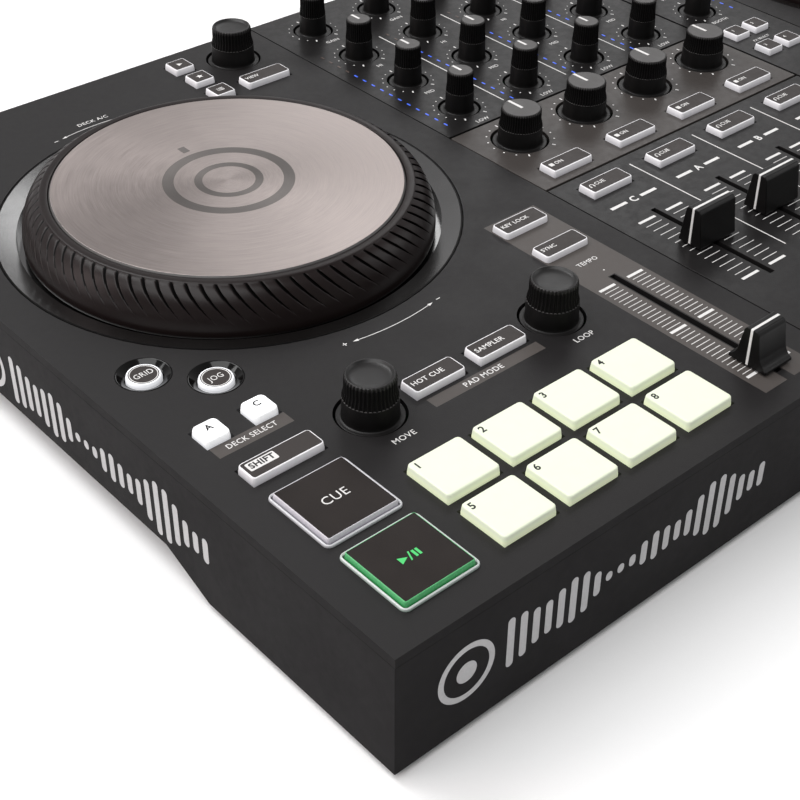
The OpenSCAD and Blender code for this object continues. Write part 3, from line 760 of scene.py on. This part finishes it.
def mixer_buttons():
    rows = islands("mixer_buttons")
    b = Build()
    for isl in rows:
        key_cap(b, isl, 1.0 if isl[2] > WIDE_KEY else 0.9)
    wide = [r for r in rows if r[2] > WIDE_KEY]
    split = sum(r[1] for r in wide) / len(wide)
    for x, y, w, d, h in wide:
        left = x - w / 2 + 1.8
        if y > split:
            b.loft([rrect(left + 0.95, y + 0.4, 1.8, 1.8, 0.3, z) for z in (h - 0.05, h + 0.03)], M_WHITE)
            b.words("ON", left + 2.6, y + 0.4, 2.35, M_WHITE, h - 0.05, h + 0.03, "LEFT", 1.0, 0.01)
        else:
            headphones(b, left + 1.1, y + 0.25, h)
            b.words("CUE", left + 2.7, y + 0.4, 2.35, M_WHITE, h - 0.05, h + 0.03, "LEFT", 1.0, 0.01)
    small = [r for r in rows if r[2] <= WIDE_KEY]
    numbered = sorted((r for r in small if r[1] < 200), key=lambda r: (-r[1], r[0]))
    for i, (x, y, w, d, h) in enumerate(numbered):
        b.words(str(i + 1), x - 1.5, y + 0.5, 2.2, M_WHITE, h - 0.05, h + 0.03, "CENTER", 1.0, 0.01)
    for x, y, w, d, h in [r for r in small if r[1] > 200]:
        b.dot(x, y, 0.8, M_WHITE, h - 0.05, h + 0.03, 20)
    b.make("mixer_keys", "mixer_buttons", ["mixer_buttons"])


# ---------------------------------------------------------------- knobs
FLUTE = (0.0, 0.10, 0.62, 0.92, 1.0, 0.92, 0.62, 0.10)  # depth of one flute, step by step round it


def pointer_bar(b, half, h, edge, inner, outer):
    """A white line over a knob's top and down the start of its side."""
    path = [(-0.35, h)] + [(inner + (outer - inner) * math.cos(a), h - edge + edge * math.sin(a))
                           for a in [math.pi / 2 * (1 - q / 5) for q in range(6)]] + \
           [(outer + 0.03, h - edge - 0.5)]
    top = [(y + (0.04 if i else 0), z + 0.035) for i, (y, z) in enumerate(path)]
    low = [(y - (0.3 if i else 0), z - 0.3) for i, (y, z) in enumerate(path)]
    ring = top + low[::-1]
    n = len(ring)
    faces = prism_faces(n)[2:]
    for i in range(len(path) - 1):
        j = n - 1 - i
        faces.append([i + 1, i, j, j - 1])
        faces.append([n + i, n + i + 1, n + j - 1, n + j])
    b.add([(x, y, z) for x in (-half, half) for y, z in ring], faces, M_WHITE)


def knob_mesh(name, hole, r, h, ribs, dish, pointer):
    """One ribbed knob, its origin on its axis at panel height; dish hollows its top."""
    b = Build()
    top = M_ENC_TOP if dish else M_KNOB_TOP_AND_LEDGE_GLINT
    tr = r - (0.72 if r > 7 else 0.42)
    s = hole - 0.75
    z_rib = h * (0.46 if dish else 0.47)
    # the outline as (radius, height, ribbed), and the material of each band above a point
    prof = [(s - 0.9, -2.2, 0), (s, -2.1, 0), (s, -0.72, 0), (s - 0.10, -0.52, 0), (s - 0.32, -0.45, 0),
            (s - 0.8, -0.52, 0), (r + 0.55, -0.50, 0), (r + 0.18, -0.30, 0), (r + 0.04, 0.1, 0),
            (r, 0.6, 0), (r - 0.10, z_rib - 0.12, 0), (r - 0.14, z_rib, 0), (r - 0.14, z_rib, 1)]
    # the flat ledge at z_rib where the flutes end is painted the light knob-top grey: a painted highlight
    # that shows as a ring of light dots
    kinds = [M_SKIRT] * 7 + [M_KNOB] * 4 + [M_KNOB_TOP_AND_LEDGE_GLINT]
    edge = 1.75 if dish else 1.15
    for t in (0.12, 0.5, 0.85):
        prof.append((r - 0.14 + (tr - r + 0.14) * t, z_rib + (h - edge - z_rib) * t, 1))
        kinds.append(M_KNOB)
    steps = 9
    inner = tr - (0.72 if dish else 0.75)
    for i in range(steps + 1):
        a = i / steps * math.pi / 2
        prof.append((inner + (tr - inner) * math.cos(a) ** 0.9, h - edge + edge * math.sin(a), 1))
        kinds.append(M_KNOB if i < 3 else top if dish else M_CHAMFER)
    if dish:
        prof += [(inner - 0.10, h, 0), (inner - 0.24, h - 0.10, 0), (inner - 0.55, h - 0.46, 0),
                 (inner - 0.85, h - 0.68, 0), (inner - 1.3, h - 0.84, 0), (inner - 2.1, h - 0.97, 0),
                 (inner - 3.2, h - 1.04, 0), (1.2, h - 1.06, 0)]
    else:
        prof += [(inner - 0.08, h, 0), (inner - 0.5, h, 0), (1.2, h, 0)]
    kinds += [top] * (len(prof) - len(kinds) - 1)
    depth = 0.42 if r < 7 else 0.52
    loops = []
    for pr, z, ribbed in prof:
        loop = []
        for i, a in enumerate(turn(ribs * len(FLUTE))):
            # the flutes are cut straight down: each takes the lesser of outline and flute
            limit = pr if z < h * 0.6 else tr - 0.02
            rr = min(pr, limit - depth * FLUTE[i % len(FLUTE)]) if ribbed else pr
            loop.append((rr * math.cos(a), rr * math.sin(a), z))
        loops.append(loop)
    b.loft(loops, kinds)
    if pointer:
        pointer_bar(b, pointer, h, edge, inner, tr)
    return make_mesh(name, b.v, b.f, b.k, 34, recalc=True)


def put_knob(node, mesh):
    c = centre(node)
    put(node + "_knob", mesh, (c.x, c.y, TOP), node, [node], even=False)


def knobs():
    def height(node):
        return (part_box(node)[1].z - TOP) / MM

    def hole(node):
        a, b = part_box(node)
        return (b.x - a.x) / 2 / MM + 0.7

    eq = knob_mesh("eq_knob", hole("low_c"), 5.3, height("low_c") - 0.04, 36, False, 0.5)
    for ch in CHANNELS:
        for row in ("gain", "hi", "mid", "low"):
            put_knob(f"{row}_{ch}", eq)
    for node in ("main_level", "booth_level", "cue_mix", "phones_level"):
        put_knob(node, eq)
    filt = knob_mesh("filter_knob", hole("filter_c"), 8.0, height("filter_c") - 0.04, 50, False, 0.56)
    for ch in CHANNELS:
        put_knob(f"filter_{ch}", filt)
    enc = knob_mesh("encoder_knob", hole("filter_c"), 8.2, height("move_left") - 0.02, 40, True, 0)
    for kind in ("browse", "loop", "move"):
        for side, _ in SIDES:
            put_knob(f"{kind}_{side}", enc)


# ---------------------------------------------------------------- faders
def fader_cap(node, half_w, foot, neck, tip, h, along_x=False):
    """A saddle-shaped cap with a white line over its crest, and the stem below it."""
    b = bmesh.new()
    side = [(foot / 2, 0.65), (foot / 2, 1.7)]
    if foot > neck + 2:
        side += [(foot / 2 - 1.2, 2.3), (foot / 2 - 2.1, 3.3)]
    side += [(neck / 2, 4.8), (tip / 2 + 0.1, h - 1.1), (tip / 2 - 0.75, h - 0.02)]
    other = [(-y, z) for y, z in side[::-1]]
    ring = other[-1:] + side + other[:-1]
    n = len(ring)
    a = [b.verts.new((-half_w, y, z)) for y, z in ring]
    e = [b.verts.new((half_w, y, z)) for y, z in ring]
    b.faces.new(a[::-1])
    b.faces.new(e)
    for i in range(n):
        b.faces.new([a[i], a[(i + 1) % n], e[(i + 1) % n], e[i]])
    bmesh.ops.recalc_face_normals(b, faces=b.faces)
    sharp = [x for x in b.edges if x.calc_face_angle(0) > math.radians(18)]
    bmesh.ops.bevel(b, geom=sharp, offset=0.38, segments=3, profile=0.6, affect="EDGES",
                    clamp_overlap=True)
    bmesh.ops.create_cube(b, size=1.0, matrix=Matrix.Translation((0, 0, -4.5)) @
                          Matrix.Diagonal((1.1, 4.8, 10.6, 1)))
    line = bmesh.new()
    bmesh.ops.create_cube(line, size=1.0, matrix=Matrix.Translation((0, 0, (h + 1.1) / 2 + 0.02)) @
                          Matrix.Diagonal((2 * half_w + 0.09, 0.85, h - 1.1 + 0.06, 1)))
    along = [x for x in line.edges if abs(x.verts[0].co.y - x.verts[1].co.y) > 0.5
             and x.verts[0].co.z > 5]
    bmesh.ops.bevel(line, geom=along, offset=0.40, segments=3, profile=0.6, affect="EDGES")
    for f in line.faces:
        f.material_index = 1
    line_mesh = bpy.data.meshes.new("line")
    line.to_mesh(line_mesh)
    line.free()
    b.from_mesh(line_mesh)
    bpy.data.meshes.remove(line_mesh)
    if along_x:
        bmesh.ops.rotate(b, verts=b.verts, matrix=Matrix.Rotation(math.pi / 2, 3, "Z"))
    bmesh.ops.scale(b, vec=(MM, MM, MM), verts=b.verts)
    me = bpy.data.meshes.new(node + "_cap")
    b.to_mesh(me)
    b.free()
    me.materials.append(M_FADER)
    me.materials.append(M_WHITE)
    me.shade_smooth()
    me.set_sharp_from_angle(angle=math.radians(30))
    c = centre(node)
    put(node + "_cap", me, (c.x, c.y, TOP), node, [node])


# ---------------------------------------------------------------- jog wheels
JOG_TOP = 12.9  # top of the brushed plate above the top face


def jog_rim_mesh():
    """The notched rim: slanted teardrop slits start under its top edge and fade out down the flank."""
    n_notch = 86
    # places round one pitch, closer together where the slit is
    cuts = [-0.5, -0.34, -0.20, -0.15, -0.118, -0.085, -0.045, 0.0, 0.045, 0.085, 0.118, 0.15, 0.20, 0.34]
    per = len(cuts)
    seg = n_notch * per
    # each ring: radius, height, depth and width of the slits there, and the way down the flank
    rings = [(5.95, 0.05, 0, 0, 0), (8.4, 0.05, 0, 0, 0), (8.4, 9.3, 0, 0, 0), (57.0, 9.3, 0, 0, 0),
             (63.6, -2.9, 0, 0, 1), (67.2, -2.9, 0, 0, 1), (67.45, -2.65, 0, 0, 1)]
    steps = 22
    full = math.radians(76)
    low, tall = -1.6, 13.7
    for i in range(steps + 1):
        a = i / steps * full
        r = 67.5 - 6.7 * (1 - math.cos(a)) / (1 - math.cos(full))
        z = low + tall * math.sin(a) / math.sin(full)
        down = (low + tall - z) / tall
        fade = max(0.0, 1 - down / 0.74)
        start = min(1.0, max(0.0, (down + 0.006) / 0.07))
        rings.append((r, z, 1.6 * fade ** 1.15 * start ** 0.7, 0.33 * (0.22 + 0.78 * fade), down))
    rings += [(60.62, 12.32, 0, 0, 0), (60.42, 12.45, 0, 0, 0), (60.15, 12.52, 0, 0, 0),
              (59.85, 12.56, 0, 0, 0), (58.2, 12.56, 0, 0, 0), (57.9, 12.45, 0, 0, 0),
              (57.75, 12.2, 0, 0, 0), (57.75, 11.3, 0, 0, 0), (5.95, 11.3, 0, 0, 0)]
    verts, cut = [], []
    for r, z, depth, width, down in rings:
        for s in range(seg):
            u = cuts[s % per]
            q = abs(u) / (width / 2) if depth > 0 else 1.0
            rr = r - depth * (1 - q ** 1.25) if q < 1 else r
            a = 2 * math.pi * (s // per + u) / n_notch + 0.20 * down
            verts.append((rr * math.cos(a), rr * math.sin(a), z))
            cut.append(r - rr)
    faces = bands(len(rings), seg, True)
    # faces deep in a slit get the black painted-shade material, a painted shade inside the slit
    kinds = [M_SHADE_BLACK if max(cut[k] for k in face) > 0.45 else M_RIM for face in faces]
    return make_mesh("jog_rim", verts, faces, kinds, 46, recalc=True)


def jogs():
    rim = jog_rim_mesh()
    h = JOG_TOP
    for side, _ in SIDES:
        c = centre(f"jog_plate_{side}")
        spot = Vector((c.x, c.y, TOP))
        put(f"jog_rim_{side}", rim, spot, f"jog_{side}", [f"jog_ring_{side}"], False)
        b = Build(spot)
        prof = [(57.3, 11.3), (57.5, 11.45), (57.5, h - 0.62), (57.46, h - 0.52), (57.0, h - 0.05),
                (56.9, h - 0.01), (40.0, h - 0.01), (21.6, h - 0.01), (10.0, h - 0.01), (2.0, h - 0.01)]
        b.lathe(prof, [M_KNOB_TOP_AND_LEDGE_GLINT] * 4 + [M_ALLOY] * 5, 240)
        for r0, r1 in ((17.8, 21.5), (8.6, 11.2)):
            b.ring([(r0, h - 0.05), (r1, h - 0.05), (r1, h), (r0, h)], M_EMBLEM, 160)
        b.bar(0.0, 25.6, 2.6, 4.0, M_EMBLEM, h - 0.05, h)
        b.make(f"jog_top_{side}", f"jog_{side}", [f"jog_plate_{side}"])


# ---------------------------------------------------------------- clear trim, meters, dishes
def clear_frame(b, node, mat):
    """The raised clear frame round a big key."""
    x, y, w, _, _ = islands(node)[0]
    outer, inner = 25.75, w + 0.5
    section = [(outer, -0.1, 2.0), (outer, 0.35, 2.0), (outer - 0.3, 0.7, 1.85), (outer - 0.9, 0.86, 1.6),
               (inner + 0.5, 0.84, 0.9), (inner, 0.55, 0.7), (inner, -2.0, 0.7)]
    loops = [rrect(x, y, size, size, corner, z) for size, z, corner in section]
    b.add([p for loop in loops for p in loop], bands(len(loops), len(loops[0]), True), mat)


def trim():
    for side, x0 in SIDES:
        b = Build()
        clear_frame(b, f"cue_{side}", M_CLEAR)
        clear_frame(b, f"play_{side}", M_PLAY_FRAME)
        for x, y, _ in ROUND_CAPS:
            b.ring([(5.7, -2.8), (8.05, -2.8), (8.05, 0.05), (7.98, 0.1), (7.82, 0.1), (7.66, 0.02),
                    (6.1, -1.12), (5.7, -1.26)], M_GLOSS, 96, x + x0, y)
        b.make(f"clear_trim_{side}", "case", ["light_guides"])
    b = Build()
    windows, lit = 15, 11
    for x in [x - 13 for x in CHANNEL_X] + [MASTER_X + 14]:
        for k in range(windows):
            y = 185.4 + 5.1 * k
            b.loft([rrect(x, y, 0.60, 2.0, 0.25, z, 3) for z in (-0.1, 0.08)] +
                   [rrect(x, y, 0.46, 1.85, 0.20, 0.14, 3)], M_BLUE if k < lit else M_BROWN)
    b.make("meter_windows", "case", ["light_guides"])


# ---------------------------------------------------------------- printing on the panels, and painted shadow in their gaps
def dial(b, x, y, r, dot=0.28):
    """The scale round a knob: 15 marks over 300 degrees, three of them bars."""
    for i in range(15):
        a = math.radians(90 + 150 - i * 300 / 14)
        c, s = math.cos(a), math.sin(a)
        if i in (0, 7, 14):
            b.bar(x + (r + 0.2) * c, y + (r + 0.2) * s, 1.35, 0.55, M_WHITE, angle=a)
        else:
            b.dot(x + r * c, y + r * s, dot, M_WHITE, n=8)


def jog_arc(b, cx, cy, r, mid):
    """A thin arc round a jog wheel with an arrow, and a plus or minus, beyond each end."""
    n, width, half = 28, 0.24, 9.6
    a0, a1 = math.radians(mid - half), math.radians(mid + half)
    out, back = ([(cx + q * math.cos(a0 + (a1 - a0) * i / n), cy + q * math.sin(a0 + (a1 - a0) * i / n))
                  for i in range(n + 1)] for q in (r + width / 2, r - width / 2))
    for i in range(n):
        b.slab([back[i + 1], out[i + 1], out[i], back[i]], PRINT_LOW, PRINT_HIGH, M_WHITE)
    for a, d in ((a0, -1), (a1, 1)):
        c, s = math.cos(a), math.sin(a)
        tx, ty = -s * d, c * d
        px, py = cx + r * c, cy + r * s
        b.slab([(px - 0.55 * c, py - 0.55 * s), (px + tx * 1.9, py + ty * 1.9),
                (px + 0.55 * c, py + 0.55 * s)], PRINT_LOW, PRINT_HIGH, M_WHITE)
        qx, qy = px + tx * 4.6, py + ty * 4.6
        b.bar(qx, qy, 1.5, 0.3, M_WHITE)
        if d < 0:
            b.bar(qx, qy, 0.3, 1.5, M_WHITE)


def print_mixer(b):
    """Scales, names and dividing lines on the mixer and the master column."""
    for x in CHANNEL_X:
        for y, text in zip(EQ_Y, ("LOW", "MID", "HI", "GAIN")):
            dial(b, x, y, 9.7)
            b.words(text, x, y - 12.6, 2.5, M_WHITE, bold=0.004)
        dial(b, x + 0.3, FILTER_Y, 12.2, 0.35)
    for x, y, text in ((MASTER_X, EQ_Y[1], "MAIN"), (MASTER_X, EQ_Y[0], "BOOTH"), (PHONES_X, 104, "MIX"),
                       (PHONES_X, 72, "LEVEL")):
        dial(b, x, y, 9.7)
        b.words(text, x, y - 12.6, 2.5, M_WHITE, bold=0.004)
    b.words("FX SELECT", MASTER_X, 158.1, 1.9, M_WHITE, bold=0.004)
    b.words("INPUT", MASTER_X, 270.0, 1.9, M_WHITE, bold=0.004)
    for i, x in enumerate(CHANNEL_X):
        b.words(CHANNELS[i].upper(), x, 105.1, 4.3, M_WHITE, bold=0.02)
        for s in (-1, 1):
            b.bar(x + s * 7.3, 105.2, 7.6, 1.35, M_WHITE)
        for k in range(15):
            y = FADER_Y + FADER_SCALE * k / 14
            w, d = (7.9, 1.1) if k in (0, 14) else (7.5, 0.26)
            for s in (-1, 1):
                b.bar(x + s * 6.75, y, w, d, M_WHITE)
        if i < 3:
            b.bar(x + 16.7, 88.1, 0.45, 68.4, M_WHITE)
            b.bar(x + 16.7, 221.8, 0.45, 72.0, M_WHITE)
    for k in range(15):
        x = sum(CHANNEL_X) / 4 - FADER_SCALE / 2 + FADER_SCALE * k / 14
        w, d = (1.0, 4.6) if k in (0, 7, 14) else (0.26, 4.0)
        for s in (-1, 1):
            b.bar(x, 22 + s * 5.2, w, d, M_WHITE)


def print_deck(b, side, x0):
    """Label bands, names, the jog wheel's arcs and the tempo scale of one deck."""
    jx, jy = x0 + JOG[0], JOG[1]
    for x, y, w, d in ((TEMPO_X - 6.5, 42.9, 9.8, 70.4), (TEMPO_X + 6.5, 42.9, 9.8, 70.4),
                       (TEMPO_X, 101.2, 22.8, 46.2), (24.35, 87.45, 25.0, 5.1), (92.1, 66.0, 43.2, 4.3)):
        b.bar(x0 + x, y, w, d, M_STRIP, -0.02, 0.012)
    for text, x, y, size, wide in (("DECK SELECT", 24.3, 87.5, 2.8, 0.92),
                                   ("PAD MODE", 90.6, 66.0, 2.9, 0.98),
                                   ("MOVE", 55.0, 59.8, 2.85, 1.0), ("LOOP", 126.5, 60.5, 2.85, 1.0),
                                   ("TEMPO", 157.0, 88.2, 2.6, 1.0)):
        b.words(text, x0 + x, y, size, M_WHITE, wide=wide, bold=0.006)
    b.dot(x0 + 157.6, 81.6, 0.3, M_WHITE)
    b.words("DECK A/C" if side == "left" else "DECK B/D", jx, 269.6, 2.6, M_WHITE, bold=0.004)
    jog_arc(b, jx, jy, 83.3, -90)
    jog_arc(b, jx, jy, 81.3, 90)
    for k in range(31):
        w, d = (6.9, 1.1) if k in (0, 15, 30) else (6.2, 0.26)
        for s in (-1, 1):
            b.bar(x0 + TEMPO_X + s * 6.35, TEMPO_Y + TEMPO_SCALE * k / 30, w, d, M_WHITE)


def paint_gap_shadows(b):
    """Painted shadow: black bars at the bottom of the gaps between the panels."""
    low = (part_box("mixer_plates")[0].z - TOP) / MM
    for x in (PANEL_X, PANEL_X + PANEL_W, DECK_STEP):
        b.bar(x, CASE_D / 2, 0.76, CASE_D - 0.8, M_INK_AND_SHADOW, low - 0.02, low + 0.12)
    for y in BAND_Y:
        b.bar(PANEL_X + PANEL_W / 2, y, PANEL_W - 0.7, 0.76, M_INK_AND_SHADOW, low - 0.02, low + 0.12)


def printing():
    b = Build()
    print_mixer(b)
    for side, x0 in SIDES:
        print_deck(b, side, x0)
    paint_gap_shadows(b)
    b.make("panel_printing_and_gap_shadow", "case", ())


def wave(u):
    """A made-up level curve between 0 and 1 for the bar graphic."""
    v = 0.52 + 0.30 * math.sin(u * 9.1 + 0.6) + 0.22 * math.sin(u * 23.3 + 1.9)
    return min(1.0, max(0.16, v))


def side_point(face, along, up, out):
    """A point on the front, left or right face, from mm along it, above the top face and outward."""
    if face == "front":
        return (along, -out, up)
    if face == "left":
        return (-out, 216.0 - along, up)
    return (CASE_W + out, 85.0 + along, up)


def round_bar(x, z, w, h, n=8):
    """The outline of an upright bar with round ends."""
    r = w / 2
    out = []
    for start, end in ((0.0, h / 2 - r), (math.pi, r - h / 2)):
        for i in range(n + 1):
            a = start + math.pi * i / n
            out.append((x + r * math.cos(a), z + end + r * math.sin(a)))
    return out


def side_graphics():
    """A row of level bars and a plain ring with a dot, in silver, on the front and on both ends."""
    middle, ring_x = -21.0, 23.4
    bars, bar_w, tall = 23, 2.5, 19.5
    outlines = []
    for i in range(bars):
        height = max(tall * wave(i / (bars - 1)), bar_w + 0.2)
        outlines.append(round_bar(38.5 + 4.55 * i, middle, bar_w, height))
    m = 72
    for k in range(m):
        a0, a1 = 2 * math.pi * k / m, 2 * math.pi * (k + 1) / m
        for outer, inner in ((9.6, 7.7), (3.4, 0.0)):
            pairs = [(outer, a0), (outer, a1)] + ([(inner, a1), (inner, a0)] if inner else [(0.0, a0)])
            outlines.append([(ring_x + r * math.cos(a), middle + r * math.sin(a)) for r, a in pairs])
    for face in ("front", "left", "right"):
        b = Build()
        for outline in outlines:
            verts = [side_point(face, p, q, out) for out in (-0.05, 0.05) for p, q in outline]
            b.add(verts, prism_faces(len(outline)), M_SILVER)
        ob = b.make(f"graphic_{face}", "case", ())
        bm = bmesh.new()
        bm.from_mesh(ob.data)
        bmesh.ops.remove_doubles(bm, verts=bm.verts, dist=1e-7)
        bmesh.ops.recalc_face_normals(bm, faces=bm.faces)
        bm.to_mesh(ob.data)
        bm.free()


# ---------------------------------------------------------------- CAD nodes that stay
def dress(node, material, bevel=None, sides=None):
    """Gives a CAD node its material, a second one on its outer walls, and soft edges."""
    ob = NODES[node]
    ob.data.materials.clear()
    ob.data.materials.append(material)
    if sides:
        ob.data.materials.append(sides)
    a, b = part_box(node)
    for p in ob.data.polygons:
        c = p.center
        gap = min(c.x - a.x, b.x - c.x, c.y - a.y, b.y - c.y)
        p.material_index = 1 if sides and abs(p.normal.z) < 0.5 and gap < 0.5 * MM else 0
    if bevel:
        w = ob.modifiers.new("weld", "WELD")
        w.merge_threshold = 2e-6
        v = ob.modifiers.new("bevel", "BEVEL")
        v.width = bevel * MM
        v.segments = 2
        v.limit_method = "ANGLE"
        v.angle_limit = math.radians(50)
        v.use_clamp_overlap = True
        v.harden_normals = False
        even_normals(ob)


def paint_shade_on_well_lip():
    """The narrow flat lip round each slope is painted matt black, a painted shade, so the edge reads as a
    dark line.
    """
    well = NODES["jog_wells"].data
    well.materials.append(M_SHADE_BLACK)
    for p in well.polygons:
        if abs(p.center.z - TOP) < 0.05 * MM:
            p.material_index = 1


dress("bottom_case", M_SHELL, 0.2)
dress("top_case", M_CASE, 0.16, M_SHELL)
dress("mixer_plates", M_PANEL, 0.12)
dress("jog_wells", M_WELL)
paint_shade_on_well_lip()
dress("circuit_boards", M_BOARD)
dress("control_bodies", M_STEEL)
dress("rubber_feet", M_RUBBER)
dress("case_screws", M_SCREW)
dress("sockets", M_SOCKET)

for side, x0 in SIDES:
    deck_buttons(side, x0)
    pads(side)
    transport(side, "cue")
    transport(side, "play")
    fader_cap(f"tempo_{side}", 6.15, 13.8, 8.2, 5.4, 13.34)
mixer_buttons()
knobs()
for ch in CHANNELS:
    fader_cap(f"fader_{ch}", 8.75, 9.3, 8.2, 5.8, 13.94)
fader_cap("crossfader", 8.75, 9.3, 8.2, 5.8, 13.94, True)
jogs()
trim()
printing()
side_graphics()


# ---------------------------------------------------------------- floor
def floor_material():
    m = Mat("floor_paper")
    m.color(m.mix(m.noise(3.0, 3.0), (0.90, 0.90, 0.90), (0.93, 0.93, 0.93)))
    m.rough(0.8)
    m.bump(m.noise(160.0, 3.0), 0.0001)
    return m.m


FLOOR_HALF = 6.0
floor_z = CAD_BOX[0][2] - 0.0003
fl = bpy.data.meshes.new("floor")
fl.from_pydata([(x * FLOOR_HALF, y * FLOOR_HALF, floor_z) for x, y in ((-1, -1), (1, -1), (1, 1), (-1, 1))],
               [], [[0, 1, 2, 3]])
fl.materials.append(floor_material())
floor = bpy.data.objects.new("floor", fl)
scene.collection.objects.link(floor)

bpy.context.view_layer.update()
